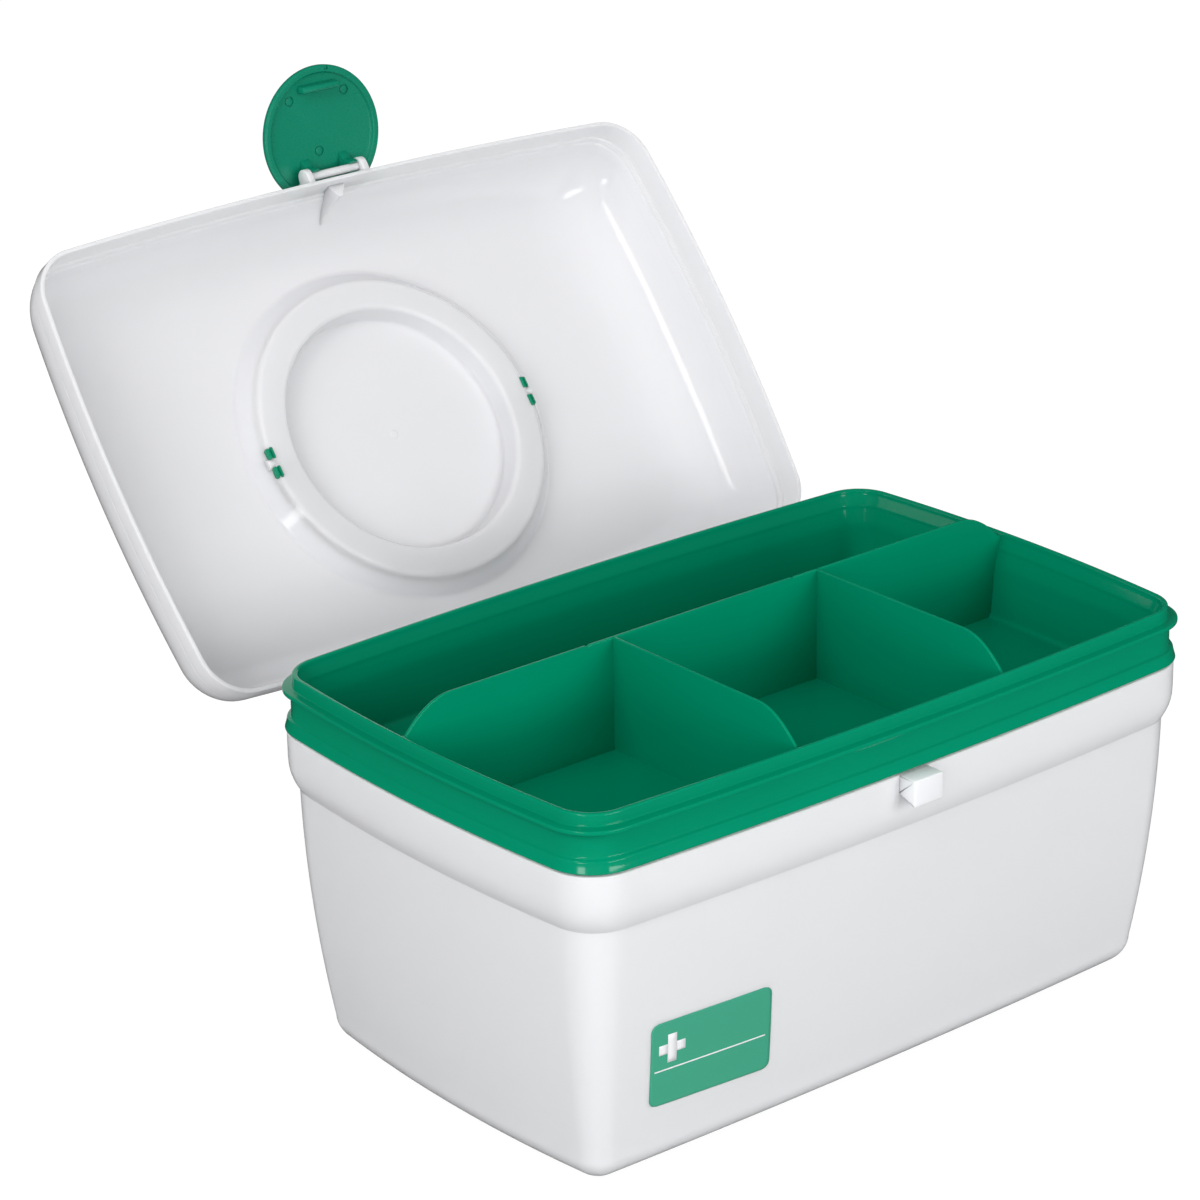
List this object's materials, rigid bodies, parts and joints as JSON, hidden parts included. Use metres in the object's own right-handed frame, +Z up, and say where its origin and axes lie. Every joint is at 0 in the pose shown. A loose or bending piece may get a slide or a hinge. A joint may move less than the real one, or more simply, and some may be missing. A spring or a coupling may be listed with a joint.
{
  "type": "medicine storage box",
  "caption": "Moulded household medicine box with a lift-out divided tray, hinged lid, round snap latch and fold-away carrying handle.",
  "frame": {"origin": "middle of the tub's flat foot, on the surface it stands on", "axes": "+X to the right along the front, +Y to the hinged back, +Z up"},
  "size_m": [0.275, 0.3222, 0.2861],
  "materials": {
    "white_pp": "milky white polypropylene",
    "lid_pp": "milky white polypropylene",
    "green_pp": "glossy green polypropylene",
    "latch_pp": "satin green polypropylene",
    "handle_pp": "satin green polypropylene"
  },
  "bodies": {
    "tub": {"tub": "white_pp"},
    "tray": {"tray": "green_pp"},
    "lid": {"lid": "lid_pp"},
    "latch": {"latch": "latch_pp"},
    "handle": {"handle": "handle_pp"}
  },
  "joints": [
    {"name": "lid_hinge", "type": "hinge", "parent": "tub", "child": "lid", "pos_m": [0, 0.09182, 0.11655], "axis": [1, 0, 0], "range_deg": [0, 128.13]},
    {"name": "tray_lift", "type": "slide", "parent": "tub", "child": "tray", "axis": [0, 0, 1], "range_m": [0, 0.13]},
    {"name": "latch_hinge", "type": "hinge", "parent": "lid", "child": "latch", "pos_m": [0, 0.21741, 0.24861], "axis": [1, 0, 0], "range_deg": [0, 58]},
    {"name": "handle_hinge", "type": "hinge", "parent": "lid", "child": "handle", "pos_m": [0, 0.18202, 0.16044], "axis": [1, 0, 0], "range_deg": [0, 90]}
  ]
}
